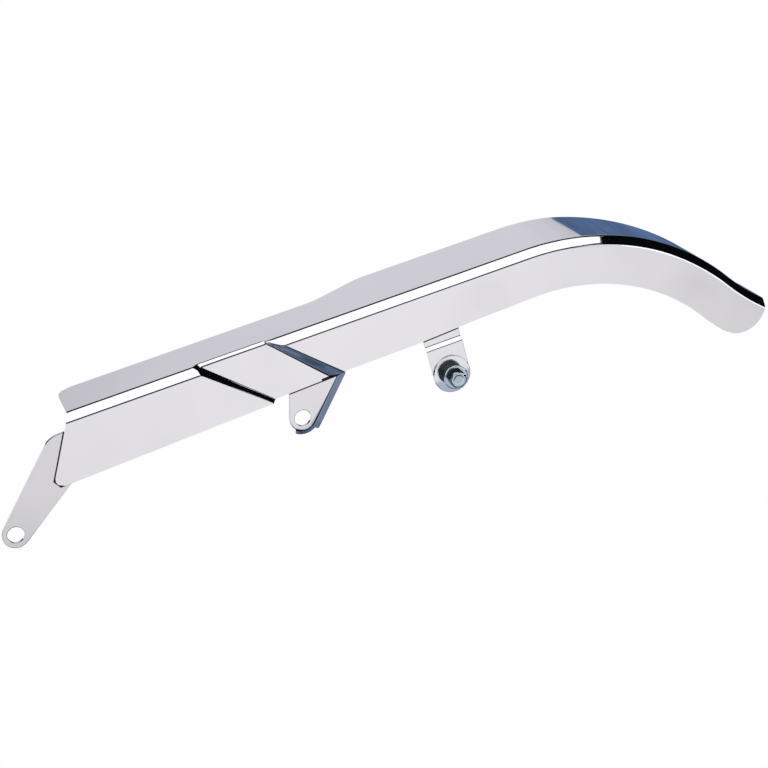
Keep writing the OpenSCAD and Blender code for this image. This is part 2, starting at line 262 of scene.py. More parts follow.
def surface(name, points, close_rows=False, close_columns=False):
    """Makes an object from a grid of points (rows, columns, 3) in millimetres, joined into quads."""
    rows, columns = points.shape[:2]
    i = np.arange(rows if close_rows else rows - 1)[:, None]
    j = np.arange(columns if close_columns else columns - 1)[None, :]
    i2, j2 = (i + 1) % rows, (j + 1) % columns
    corners = [i * columns + j, i2 * columns + j, i2 * columns + j2, i * columns + j2]
    faces = np.stack([np.broadcast_to(c, (i.size, j.size)) for c in corners], -1).reshape(-1, 4)
    mesh = bpy.data.meshes.new(name)
    mesh.from_pydata((points.reshape(-1, 3) * MM).tolist(), [], faces.tolist())
    mesh.update()
    piece = bpy.data.objects.new(name, mesh)
    bpy.context.scene.collection.objects.link(piece)
    return piece


def weld(piece, outwards=True):
    """Joins doubled points, so that seams and poles are closed, and turns the faces outwards."""
    bm = bmesh.new()
    bm.from_mesh(piece.data)
    bmesh.ops.remove_doubles(bm, verts=bm.verts, dist=2e-6)
    bmesh.ops.dissolve_degenerate(bm, edges=bm.edges, dist=1e-7)
    if outwards:
        bmesh.ops.recalc_face_normals(bm, faces=bm.faces)
    bm.to_mesh(piece.data)
    bm.free()


def finish_piece(piece, node, slot, *materials):
    """Smooths the shading, puts the materials on, and puts the piece in the CAD node's place."""
    piece.data.shade_smooth()
    flat = piece.modifiers.new("flat_faces_stay_flat", "WEIGHTED_NORMAL")
    flat.keep_sharp = True
    for material in materials:
        piece.data.materials.append(material)
    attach(piece, "root")
    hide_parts(node)


def crisp(piece, angle=40):
    """Marks the edges between faces that meet at more than an angle in degrees as sharp."""
    piece.data.set_sharp_from_angle(angle=math.radians(angle))


def sizes_mm(group, *names):
    """The named lengths of a property group in millimetres."""
    return [getattr(group, name) / MM for name in names]


# Guard shell

def run_position(size, station, v):
    """Place in X and Z of a point v outside the lower crease at a distance along the crease.

    The crease is a straight line, then an arc over the pulley, then the reverse arc of the lip.
    """
    arch_x, arch_r, lip_r, crease = sizes_mm(size, "arch_x", "arch_r", "lip_r", "crease_z")
    angle = (station - arch_x) / arch_r
    centre_z = crease - arch_r
    lip_x = arch_x + (arch_r + lip_r) * math.sin(ARCH_ANGLE)
    lip_z = centre_z + (arch_r + lip_r) * math.cos(ARCH_ANGLE)
    back = ARCH_ANGLE - (station - arch_x - arch_r * ARCH_ANGLE) / lip_r
    straight, arched = angle < 0, angle < ARCH_ANGLE
    x = np.where(arched, arch_x + (arch_r + v) * np.sin(angle), lip_x - (lip_r - v) * np.sin(back))
    z = np.where(arched, centre_z + (arch_r + v) * np.cos(angle), lip_z - (lip_r - v) * np.cos(back))
    return np.where(straight, station, x), np.where(straight, crease + v, z)


def shell_stations(size):
    """Distances along the crease, close together at the recess's steps and in the curved tail."""
    front, arch, arch_r, lip_r = sizes_mm(size, "front_x", "arch_x", "arch_r", "lip_r")
    end = arch + arch_r * ARCH_ANGLE + lip_r * 0.22
    # from, to and step of each span
    spans = [(front, front + 14, 1.2), (front + 14, 171, 4), (171, 183, 0.3), (183, 224, 2.5),
             (224, 246, 0.4), (246, 286, 3), (286, 336, 1.5), (336, arch - 10, 4), (arch - 10, end, 2.2)]
    parts = [np.linspace(a, b, max(2, round((b - a) / step)), endpoint=False) for a, b, step in spans]
    return np.append(np.concatenate(parts), end)


def shell_points(size):
    """The outer skin of the sheet as a grid of stations along the crease and rows across the section.

    Across a section the skin is a wall, a 45 degree shoulder and a top plate, with each corner averaged.
    In the recess the wall steps inwards and the shoulder shrinks, both as ramps of the distance q from
    the recess's front edge, and the stations lean so that they run along that edge.
    """
    crease, bend, front, arch, band = sizes_mm(size, "crease_z", "bend", "front_x", "arch_x", "tail_band")
    depth = size.recess_depth / MM
    wall_y = SHELL_LOW[1]
    top_v = SHELL_HIGH[2] - crease
    c = shell_stations(size)[:, None]
    slope = math.sin(size.recess_angle)
    lean_recess = -1 / math.tan(size.recess_angle)
    lean = size.front_lean + (lean_recess - size.front_lean) * smooth((c - front) / (LEAN_AT - front))
    lean = lean * (1 - smooth((c - UPRIGHT[0]) / (UPRIGHT[1] - UPRIGHT[0])))

    # distance square to the recess's edges, and the two steps as shares of it
    crease_cut = RECESS_FRONT_X + (crease - RECESS_Z) * lean_recess
    q = (c - crease_cut) * slope
    across = (RECESS_REAR_X - RECESS_FRONT_X) * slope

    def climb(distance, run, first, last):
        """Zero to one over a run, with a bend at each end given by its half run."""
        return (ramp(distance, first) - ramp(distance - run, last)) / run

    def recessed(down, reach=1.0):
        """Share of the recess's depth at a share of the wall's height: one step in, one step out."""
        into = np.interp(down, (0, 0.5, 1), FRONT_RUNS) * slope
        out = np.interp(down, (0, 1), REAR_RUNS) * slope
        front = climb(q - FRONT_STEP_END * slope + into, into * reach, *FRONT_BENDS)
        return front + climb(across - q, out * reach, bend, bend) - 1

    wall = wall_y + depth * recessed(0)
    chamfer = top_v - (top_v - SMALL_SHOULDER) * recessed(0, (top_v - SMALL_SHOULDER) / depth)

    # lower edge of the wall, found where each leaning station meets it
    v_low = np.full_like(c, -band)
    fade = 1 - smooth((c - front) / FRONT_FADE)
    for _ in range(6):
        x_low = c + lean * v_low + corner_shift(size, v_low) * fade
        v_low = np.where(c > arch, -band, np.interp(x_low, LOWER_EDGE_X, LOWER_EDGE_Z) - crease)

    # rows: t is the distance along the section from the wall's crease
    wall_len = top_v - chamfer - v_low
    chamfer_len = chamfer * math.sqrt(2)
    half = np.minimum(2 * bend, chamfer_len / 2)
    far = far_edge(size, c)
    flat = far - (wall + chamfer) - 2 * bend
    rows = [-wall_len + (wall_len - 2 * bend) * np.linspace(0, 1, 18)[None, :-1],
            -2 * bend + (2 * bend + half) * np.linspace(0, 1, 10)[None, :-1],
            half + (chamfer_len - 2 * half) * np.linspace(0, 1, 5)[None, :-1],
            chamfer_len - half + (half + 2 * bend) * np.linspace(0, 1, 10)[None, :-1],
            chamfer_len + 2 * bend + flat * np.linspace(0, 1, 20)[None]]
    t = np.concatenate(rows, 1)
    diagonal = 1 / math.sqrt(2)
    top_bend = bend * (1 - SHARPER * np.clip(recessed(0), 0, 1))
    first, second = ramp(t, bend), ramp(t - chamfer_len, top_bend)
    y = wall + diagonal * (first - second) + second
    v = top_v - chamfer + t - (1 - diagonal) * first - diagonal * second
    y = y + depth * (recessed(np.clip(-v / WALL_HEIGHT, 0, 1)) - recessed(0))

    # the front end leans, with a rounded lower corner and a rounded far corner of the top plate
    station = c + lean * v + corner_shift(size, v) * fade
    corner_y = np.clip(y - (wall_y + size.top_front / MM - TOP_CORNER_R), 0, TOP_CORNER_R)
    top_shift = TOP_CORNER_R - np.sqrt(TOP_CORNER_R ** 2 - corner_y ** 2)
    station = station + top_shift * (1 - smooth((c - front) / TOP_FADE))

    # the tail ends in a round end
    start = c[-1, 0] - TAIL_RUN
    share = np.clip((c - start) / (c[-1, 0] - start), 0, 1)
    station = np.where(c > start, start + share * (tail_end(size, v) - start), station)
    x, z = run_position(size, station, v)
    return np.stack([x, y, z], -1)


def corner_shift(size, v):
    """How far the rounded lower front corner stands behind the straight front edge at height v."""
    crease, front = sizes_mm(size, "crease_z", "front_x")
    edge_slope = (LOWER_EDGE_Z[1] - LOWER_EDGE_Z[0]) / (LOWER_EDGE_X[1] - LOWER_EDGE_X[0])
    corner = math.atan2(1, size.front_lean) - math.atan(edge_slope)
    reach = FRONT_CORNER_R / math.tan(corner / 2)
    along = np.array([1, edge_slope]) / math.hypot(1, edge_slope)
    low = np.array([LOWER_EDGE_X[0], LOWER_EDGE_Z[0]]) + along * reach
    centre = low + FRONT_CORNER_R * np.array([-along[1], along[0]])
    high = LOWER_EDGE_Z[0] + reach / math.hypot(1, size.front_lean)
    z = crease + v
    x = centre[0] - np.sqrt(np.maximum(FRONT_CORNER_R ** 2 - (z - centre[1]) ** 2, 0))
    return np.where(z < high, x - (front + size.front_lean * v), 0)


def far_edge(size, c):
    """Y of the far edge of the top plate: a step where the plate gets wider, then a taper to the tip."""
    narrow = SHELL_LOW[1] + size.top_front / MM
    wide = SHELL_HIGH[1]
    step = (ramp(c - STEP_X[0], 6) - ramp(c - STEP_X[1], 6)) / (STEP_X[1] - STEP_X[0])
    x, _ = run_position(size, c, 6.0)
    taper = size.taper / MM * ramp(x - TAPER_X[0], 8) / (TAPER_X[1] - TAPER_X[0])
    return narrow + (wide - narrow) * step - taper


def tail_end(size, v):
    """Distance along the crease where the round end lies: a circle that touches the lower edge."""
    arch, arch_r, lip_r, band, end_r = sizes_mm(size, "arch_x", "arch_r", "lip_r", "tail_band", "tail_end_r")
    centre = lip_r + band - end_r
    rho = lip_r - v
    down = (rho ** 2 + centre ** 2 - end_r ** 2) / (2 * centre)
    beyond = np.arctan2(np.sqrt(np.maximum(rho ** 2 - down ** 2, 0)), down)
    return arch + arch_r * ARCH_ANGLE + lip_r * (ARCH_ANGLE - TAIL_END_ANGLE + beyond)


class GUARD_OT_shell(bpy.types.Operator):
    """Builds the pressed sheet: wall, shoulder, top plate, recess, arched tail and lip"""
    bl_idname = "guard.shell"
    bl_label = "Guard shell"

    def execute(self, context):
        size = context.scene.guard_shell_sizes
        piece = surface("pressed_shell", shell_points(size))
        weld(piece, outwards=False)
        wall = piece.modifiers.new("sheet", "SOLIDIFY")
        wall.thickness = size.sheet
        wall.offset = -1
        wall.use_even_offset = True
        wall.material_offset = 1
        edge = piece.modifiers.new("edge", "BEVEL")
        edge.width = SHEET_EDGE * MM
        edge.segments = 3
        edge.limit_method = "ANGLE"
        edge.angle_limit = math.radians(60)
        # The sheet's chrome gets a dark band of painted shade along the wall's own cut edge behind the recess
        outer = chrome_beside_wall("chrome_sheet", CUT_EDGE, CUT_PAINTED_SHADE, 1.0)
        finish_piece(piece, "guard_shell", "chrome", outer, satin_chrome())
        return {"FINISHED"}


# Tabs and strap

def tab_outline(lobe, edges, cuts, count=420):
    """Outline round a hole at the origin, evenly spaced: a round end of radius lobe between two straight
    edges that touch it, given by the angles of their normals, cut by further lines (angle, distance).

    A moving mean along the outline rounds its corners.
    """
    phi = np.radians(np.linspace(-180, 180, 7200, endpoint=False))
    lines = [(edges[0], lobe), (edges[1], lobe)] + list(cuts)
    reach = [np.where(np.cos(phi - math.radians(a)) > 1e-3,
                      d / np.maximum(np.cos(phi - math.radians(a)), 1e-3), 1e9) for a, d in lines]
    radius = np.minimum.reduce(reach)
    first, last = math.radians(edges[0]), math.radians(edges[1]) + 2 * math.pi
    turned = np.where(phi < first - 1e-9, phi + 2 * math.pi, phi)
    radius = np.where((turned >= first) & (turned <= last), lobe, radius)
    dense = np.stack([radius * np.cos(phi), radius * np.sin(phi)], -1)
    run = np.concatenate([[0], np.cumsum(np.linalg.norm(np.roll(dense, -1, 0) - dense, axis=1))])
    at = np.linspace(0, run[-1], count, endpoint=False)
    closed = np.vstack([dense, dense[:1]])
    even = np.stack([np.interp(at, run, closed[:, k]) for k in (0, 1)], -1)
    near = int(round(CORNER_SPREAD / (run[-1] / count)))
    return np.mean([np.roll(even, k, 0) for k in range(-near, near + 1)], 0)


def tab_points(outline, centre, y0, thickness, hole_r, edge, flange, sweep):
    """A plate with a round hole as a closed grid: its section runs from the hole's rim over the front face
    to the outline, over an optional swept-back flange, round the edge and back over the rear face."""
    tangent = np.roll(outline, -1, 0) - np.roll(outline, 1, 0)
    normal = np.stack([tangent[:, 1], -tangent[:, 0]], -1)
    normal /= np.linalg.norm(normal, axis=1, keepdims=True)
    rim_dir = outline / np.linalg.norm(outline, axis=1, keepdims=True)
    quarter = np.linspace(0, math.pi / 2, 5)
    inner = 2.5
    # one row each: weight of the outline, distance from the hole's rim, share of the flange, push, depth
    rim = [(0, edge * (1 - math.sin(a)), 0, 0, edge * (1 - math.cos(a))) for a in quarter[::-1]]
    face = [(0, edge + 0.3, 0, 0, 0), (0, edge + 0.8, 0, 0, 0)]
    face += [(w, edge + 0.8, 0, 0, 0) for w in (0.2, 0.45, 0.7, 0.88, 1)]
    out = [(1, 0, s, 0, 0) for s in np.linspace(0, 1, 10)[1:]]
    turn = [(1, 0, 1, edge * math.sin(a), edge * (1 - math.cos(a))) for a in quarter[1:]]
    front = np.array(rim + face + out + turn)
    back = front[::-1].copy()
    back[:, 4] = thickness - back[:, 4]
    rows = np.vstack([front, back])
    w, rim_out, share, push, deep = (rows[:, k][:, None] for k in range(5))
    reach = -inner + (flange[None] - edge + inner) * share + push
    hole = rim_dir[None] * (hole_r + rim_out)[..., None]
    plate = outline[None] + np.where(reach[..., None] < 0, rim_dir[None], normal[None]) * reach[..., None]
    flat = hole * (1 - w[..., None]) + plate * w[..., None]
    y = y0 + deep + sweep * ramp(reach, 0.9) * w
    y = np.broadcast_to(y, flat.shape[:2])
    return np.stack([centre[0] + flat[..., 0], y, centre[2] + flat[..., 1]], -1)


def flange_width(outline, size):
    """Width of the middle tab's flange: full along the rear edge, with a corner below, narrow round the end."""
    lobe, wide, low = sizes_mm(size, "lobe", "flange", "flange_low")
    # angles where the rear edge meets the round end and where the low flange ends, the flange's run past
    # the rear edge, and where along that edge it fades out towards the wall
    rear_edge, lobe_end, run_on, fade_at = 41.5, 98, 4, 46
    angle = np.degrees(np.arctan2(outline[:, 1], outline[:, 0]))
    past = -rear_edge - angle
    bent = np.radians(np.clip(past, 0.5, 80))
    corner = np.minimum((lobe + wide) / np.cos(bent), run_on / np.sin(bent)) - lobe
    round_part = np.maximum(low * smooth((lobe_end - past) / 14), np.where(past < 60, corner, 0))
    up_the_edge = math.radians(90 - rear_edge)
    along = outline @ np.array([math.cos(up_the_edge), math.sin(up_the_edge)])
    straight = np.where(angle < 50, wide * (1 - smooth((along - fade_at) / run_on)), 0)
    return np.where(past > 0, np.maximum(round_part, 0), straight)


class GUARD_OT_tabs(bpy.types.Operator):
    """Builds the front tab and the middle tab with its swept-back flange"""
    bl_idname = "guard.tabs"
    bl_label = "Fixing tabs"

    def execute(self, context):
        size = context.scene.guard_tab_sizes
        thick, hole, lobe, edge = sizes_mm(size, "thickness", "hole", "lobe", "edge")
        top_cuts = ((125, 26.1), (113, 41.3), (101, 55.45), (90, 67), (0, 88))
        front = tab_outline(lobe, (136.7, -54), top_cuts)
        flat = np.zeros(len(front))
        points = tab_points(front, MOUNTS["front_hole"], 0, thick, hole / 2, edge, flat, 0)
        # Both tabs get chrome darkened as painted shade, with a dark band of painted shade along the wall's
        # edges
        edges = (FRONT_EDGE, CORNER_EDGE, LOWER_EDGE)
        self.plate("front_plate", points, "front_tab", edges, FRONT_PAINTED_SHADE, FRONT_TAB_SHADE)
        middle = tab_outline(lobe, (164.5, -41.5), ((46.5, 52), (90, 45)))
        flange = flange_width(middle, size)
        place = MOUNTS["middle_hole"]
        points = tab_points(middle, place, place[1], thick, hole / 2, edge, flange, 0.5)
        self.plate("middle_plate", points, "middle_tab", (LOWER_EDGE,), PAINTED_SHADE_WIDTH, MIDDLE_TAB_SHADE)
        return {"FINISHED"}

    def plate(self, name, points, node, edges, width, shade):
        """Closes a tab's grid to a plate in the place of its CAD node, with painted shade: darker chrome and a
        dark band along the wall's edges.
        """
        piece = surface(name, points, close_rows=True, close_columns=True)
        weld(piece)
        crisp(piece, 50)
        finish_piece(piece, node, "chrome", chrome_beside_wall("chrome_plate_" + name, edges, width, shade))


class GUARD_OT_strap(bpy.types.Operator):
    """Builds the rear strap: a flat bar that steps outwards below the wall and ends round"""
    bl_idname = "guard.strap"
    bl_label = "Rear strap"

    def execute(self, context):
        """Carries a rounded rectangle down in Z: its front follows the step, its width the round end."""
        size = context.scene.guard_tab_sizes
        thick, edge = sizes_mm(size, "thickness", "edge")
        half = (STRAP_HIGH[0] - STRAP_LOW[0]) / 2
        bolt = MOUNTS["rear_bolt"]
        joggle = -STRAP_LOW[1]
        behind = thick * math.tan(math.pi / 8)
        above, below = JOGGLE_Z + 5, JOGGLE_Z - 6
        z = np.concatenate([np.linspace(STRAP_HIGH[2], above, 8)[:-1], np.linspace(above, below, 34)[:-1],
                            np.linspace(below, bolt[2], 8)[:-1],
                            bolt[2] - half * np.sin(np.linspace(0, math.pi / 2, 40))])
        width = np.where(z > bolt[2], half, np.sqrt(np.maximum(half ** 2 - (bolt[2] - z) ** 2, 0)))

        def step(start):
            """How far the strap has stepped outwards when the step starts at a height."""
            return ramp(start - z, JOGGLE_BEND) - ramp(start - joggle - z, JOGGLE_BEND)

        front, back = -step(JOGGLE_Z), thick - step(JOGGLE_Z - behind)
        section = rounded_loop([(-1, 0), (1, 0), (1, 1), (-1, 1)], 0.15)
        side = np.sign(section[:, 0])[None]
        inset = half * (1 - np.abs(section[:, 0]))[None] * edge / 2
        x = bolt[0] + side * np.maximum(width[:, None] - inset, 0)
        y = front[:, None] + (back - front)[:, None] * section[None, :, 1]
        points = np.stack([x, y, np.broadcast_to(z[:, None], x.shape)], -1)
        top = points[:1].copy()
        top[..., 0] = bolt[0]
        points = np.concatenate([top, points])
        piece = surface("strap", points, close_columns=True)
        weld(piece)
        crisp(piece, 50)
        # The strap's chrome is darkened a little as painted shade, with a dark band of painted shade under the
        # wall's edge
        material = chrome_beside_wall("chrome_plate_strap", (STRAP_EDGE,), PAINTED_SHADE_WIDTH, STRAP_SHADE)
        finish_piece(piece, "rear_bracket", "chrome", material)
        return {"FINISHED"}


# Rubber, washers and bolt

def turned(name, profile, centre, steps=128):
    """A closed profile of radius and Y, turned once round the bolt's axis."""
    phi = np.linspace(0, 2 * math.pi, steps, endpoint=False)[:, None]
    r, y = profile[None, :, 0], profile[None, :, 1]
    points = np.stack([centre[0] + r * np.cos(phi), np.broadcast_to(y, (steps, y.shape[1])),
                       centre[2] + r * np.sin(phi)], -1)
    piece = surface(name, points, close_rows=True, close_columns=True)
    weld(piece)
    crisp(piece, 50)
    return piece


class GUARD_OT_washers(bpy.types.Operator):
    """Builds the large, faintly dished chromed washer and the small zinc washer"""
    bl_idname = "guard.washers"
    bl_label = "Washers"

    def execute(self, context):
        dish = context.scene.guard_fixing_sizes.dish / MM
        bolt = MOUNTS["rear_bolt"]
        outer = (STRAP_HIGH[0] - STRAP_LOW[0]) / 2
        front, back = WASHER_LOW[1], WASHER_HIGH[1]
        flat_r = (GROMMET_HIGH[0] - GROMMET_LOW[0]) / 2 - 1
        profile = [(WASHER_HOLE_R, back), (WASHER_HOLE_R, front), (flat_r, front), (outer, front + dish),
                   (outer, back)]
        piece = turned("dished_washer", rounded_loop(profile, LARGE_WASHER_EDGE), bolt)
        finish_piece(piece, "large_washer", "chrome", polished_chrome())
        radius = (SMALL_HIGH[0] - SMALL_LOW[0]) / 2
        bore = SMALL_BORE_SHARE * (BOLT_HIGH[0] - BOLT_LOW[0]) / 2
        front, back = SMALL_LOW[1], SMALL_HIGH[1]
        profile = [(bore, front), (radius, front), (radius, back), (bore, back)]
        piece = turned("small_washer", rounded_loop(profile, SMALL_WASHER_EDGE), bolt)
        finish_piece(piece, "flat_washer", "zinc", zinc_plate())
        return {"FINISHED"}


class GUARD_OT_rubber(bpy.types.Operator):
    """Builds the rubber grommet with its groove, and dresses the steel sleeve in it"""
    bl_idname = "guard.rubber"
    bl_label = "Rubber grommet"

    def execute(self, context):
        bolt = MOUNTS["rear_bolt"]
        r = (GROMMET_HIGH[0] - GROMMET_LOW[0]) / 2 - RUBBER_SMALLER
        front, rear = GROMMET_LOW[1], GROMMET_HIGH[1]
        washer, strap = WASHER_LOW[1], STRAP_HIGH[1] + STRAP_LOW[1]
        middle = (front + washer) / 2
        profile = [(RUBBER_BORE_R, front), (r, front), (r, middle - GROOVE), (r - GROOVE, middle),
                   (r, middle + GROOVE), (r, washer), (NECK_R, washer), (NECK_R, strap), (r, strap), (r, rear),
                   (RUBBER_BORE_R, rear)]
        piece = turned("rubber_mount", rounded_loop(profile, RUBBER_EDGE), bolt)
        finish_piece(piece, "rubber_grommet", "rubber", moulded_rubber())
        sleeve_node = frame["nodes"]["spacer_sleeve"]
        sleeve_node.data.materials.clear()
        sleeve_node.data.materials.append(zinc_plate())
        return {"FINISHED"}


class GUARD_OT_bolt(bpy.types.Operator):
    """Builds the hexagon bolt: chamfered head with a shallow dished face, plain shank and thread"""
    bl_idname = "guard.bolt"
    bl_label = "Hexagon bolt"

    def execute(self, context):
        """The head's rows are shares of the hexagon's radius; the thread is a helical wave of the shank's."""
        size = context.scene.guard_fixing_sizes
        flats, pitch, deep = sizes_mm(size, "flats", "pitch", "thread_depth")
        bolt = MOUNTS["rear_bolt"]
        steps = 192
        phi = np.linspace(0, 2 * math.pi, steps, endpoint=False)[None]
        turn = math.radians(HEAD_TURN)
        hexagon = flats / 2 / np.cos((phi + turn) % (math.pi / 3) - math.pi / 6)
        face, under = BOLT_LOW[1], SMALL_LOW[1]
        ring = flats / 2 * CHAMFER_START
        share = np.concatenate([np.linspace(0, 0.66, 8), np.linspace(0.69, 1, 12)])[:, None]
        r = share * hexagon
        dish = FACE_DISH * (1 - smooth((r - ring * FACE_DISH_R) / 0.7))
        y = face + dish + np.maximum(r - ring, 0) * math.tan(math.radians(CHAMFER_SLOPE))
        side_y = np.linspace(0.06, 1, 6)[:, None]
        rim = y[-1:]
        rows_r = [r, np.broadcast_to(hexagon, (6, steps))]
        rows_y = [y, rim + (under - rim) * side_y]
        end = BOLT_HIGH[1]
        thread_y = np.arange(GROMMET_HIGH[1] + 0.7, end - 0.6, pitch / 8)[:, None]
        wave = np.abs(((thread_y / pitch - phi / (2 * math.pi)) % 1) * 2 - 1)
        taper = smooth((thread_y - thread_y[0]) / pitch) + 0 * phi
        cut = SHANK_R - deep * wave * taper
        cut = np.minimum(cut, SHANK_R - np.maximum(thread_y - (end - POINT_LENGTH), 0) * POINT_SLOPE)
        plain = np.linspace(under, float(thread_y[0, 0]) - 0.1, 8)[:, None]
        rows_r += [np.full((8, steps), SHANK_R), cut, np.full((1, steps), SHANK_R - 1.2), np.zeros((1, steps))]
        rows_y += [np.broadcast_to(plain, (8, steps)), np.broadcast_to(thread_y, cut.shape),
                   np.full((1, steps), end), np.full((1, steps), end)]
        r, y = np.vstack(rows_r), np.vstack(rows_y)
        points = np.stack([bolt[0] + r * np.cos(phi), y, bolt[2] + r * np.sin(phi)], -1)
        piece = surface("bolt", points, close_columns=True)
        weld(piece)
        crisp(piece, 28)
        finish_piece(piece, "hex_bolt", "zinc", zinc_plate())
        return {"FINISHED"}


# Materials

def add_node(tree, kind, inputs=(), **settings):
    """Adds a node, sets its settings, and fills its inputs: a socket is linked and a value is set."""
    node = tree.nodes.new(kind)
    for key, value in settings.items():
        setattr(node, key, value)
    for socket, value in dict(inputs).items():
        if isinstance(value, bpy.types.NodeSocket):
            tree.links.new(value, node.inputs[socket])
        else:
            node.inputs[socket].default_value = value
    return node


def noise(tree, place, scale, detail, output="Fac"):
    """A noise pattern over a place or a direction."""
    node = add_node(tree, "ShaderNodeTexNoise", {"Vector": place, "Scale": scale, "Detail": detail})
    return node.outputs[output]


def spread(tree, value, low, high, to_low=0.0, to_high=1.0):
    """Carries a value from one range over to another, and no further."""
    node = add_node(tree, "ShaderNodeMapRange", {"Value": value, "From Min": low, "From Max": high,
                                                 "To Min": to_low, "To Max": to_high})
    return node.outputs["Result"]


def blend(tree, factor, first, second):
    """Mixes two colours: the first at factor zero, the second at one."""
    node = add_node(tree, "ShaderNodeMix", {"Factor": factor, "A": first, "B": second}, data_type="RGBA")
    return node.outputs["Result"]


def math_node(tree, operation, *values):
    """One step of arithmetic on numbers."""
    return add_node(tree, "ShaderNodeMath", dict(enumerate(values)), operation=operation).outputs[0]


def start_material(name):
    """A material with an empty node tree, and the tree, or none where the material is there already."""
    found = bpy.data.materials.get(name)
    if found:
        return found, None
    material = bpy.data.materials.new(name)
    material.use_nodes = True
    material.node_tree.nodes.clear()
    return material, material.node_tree


def close_material(tree, tint, roughness, pattern, strength, height_mm, metallic=1.0):
    """Joins colour, roughness and a raised pattern in one shader, and gives it to the material."""
    bump = add_node(tree, "ShaderNodeBump", {"Height": pattern, "Strength": strength,
                                             "Distance": height_mm * MM})
    shader = add_node(tree, "ShaderNodeBsdfPrincipled", {"Base Color": tint, "Metallic": metallic,
                                                         "Roughness": roughness,
                                                         "Normal": bump.outputs["Normal"]})
    add_node(tree, "ShaderNodeOutputMaterial", {"Surface": shader.outputs[0]})


def chrome_finish(name, base, polish, haze, ripple_mm, ripple_height_mm, edges=(), width=0.0):
    """Chromium over polished nickel: a mirror whose gloss varies a little and whose sheet is not quite flat.

    Within a width of all the wall's edges given, each as two points in X and Z, the plate is painted dark:
    painted shade along those edges.
    """
    material, tree = start_material(name)
    if tree is None:
        return material
    place = add_node(tree, "ShaderNodeTexCoord").outputs["Object"]
    film = noise(tree, place, 1 / (30 * MM), 3.0)
    grains = noise(tree, place, 1 / (1.5 * MM), 2.0)
    rough = spread(tree, math_node(tree, "MULTIPLY", film, grains), 0.15, 0.4, polish, haze)
    ripple = noise(tree, place, 1 / (ripple_mm * MM), 1.0)
    tint = blend(tree, film, (*[v * 0.97 for v in base], 1), (*base, 1))
    painted_shade_mask = None
    for (x1, z1), (x2, z2) in edges:
        away = Vector((z2 - z1, 0, x1 - x2)).normalized()
        limit = away.dot(Vector((x1, 0, z1))) + width
        beyond = add_node(tree, "ShaderNodeVectorMath", {0: place, 1: away}, operation="DOT_PRODUCT")
        near = spread(tree, beyond.outputs["Value"], limit * MM, (limit - PAINTED_SHADE_SOFT) * MM)
        painted_shade_mask = near if painted_shade_mask is None else math_node(tree, "MINIMUM", painted_shade_mask, near)
    # Painted shade: the tint turns dark within the width of the wall's edges
    if edges:
        tint = blend(tree, painted_shade_mask, tint, (*linear(PAINTED_SHADE_COLOUR), 1))
    close_material(tree, tint, rough, ripple, 1.0, ripple_height_mm)
    return material


def chrome_beside_wall(name, edges, width, shade):
    """The same chrome darkened by a shade factor, as painted shade, and with a dark band of painted shade
    within a width of the wall's edges.
    """
    base = tuple(v * shade for v in bpy.context.scene.guard_colours.chrome)
    return chrome_finish(name, base, *POLISH, edges, width)


def polished_chrome():
    """Decorative chrome on a polished sheet: near mirror, faint press ripple."""
    base = tuple(bpy.context.scene.guard_colours.chrome)
    return chrome_finish("polished_chrome_plate", base, *POLISH)


def satin_chrome():
    """The same plating on the unpolished inner side of the sheet: thin, hazy, greyer."""
    base = tuple(bpy.context.scene.guard_colours.chrome_inside)
    return chrome_finish("satin_chrome_plate", base, 0.16, 0.3, 12, 0.03)


def zinc_plate():
    """Electroplated zinc with a blue passivate on turned steel: soft gloss with fine tool marks."""
    material, tree = start_material("blue_zinc_plate")
    if tree is None:
        return material
    base = tuple(bpy.context.scene.guard_colours.zinc)
    place = add_node(tree, "ShaderNodeTexCoord").outputs["Object"]
    cloud = noise(tree, place, 1 / (3 * MM), 4.0)
    grain = noise(tree, place, 1 / (0.5 * MM), 3.0)
    tone = blend(tree, cloud, (*[v * 0.86 for v in base], 1), (*base, 1))
    close_material(tree, tone, spread(tree, grain, 0.0, 1.0, 0.08, 0.2), grain, 0.5, 0.008)
    return material


def moulded_rubber():
    """Moulded black natural rubber: matt, with a little bloom and a fine grained surface."""
    material, tree = start_material("moulded_rubber")
    if tree is None:
        return material
    base = tuple(bpy.context.scene.guard_colours.rubber)
    place = add_node(tree, "ShaderNodeTexCoord").outputs["Object"]
    bloom = noise(tree, place, 1 / (6 * MM), 4.0)
    grain = noise(tree, place, 1 / (0.4 * MM), 3.0)
    tone = blend(tree, bloom, (*base, 1), (*[v * 2.2 for v in base], 1))
    close_material(tree, tone, spread(tree, bloom, 0.0, 1.0, 0.35, 0.6), grain, 0.6, 0.05, 0.0)
    return material


# Studio

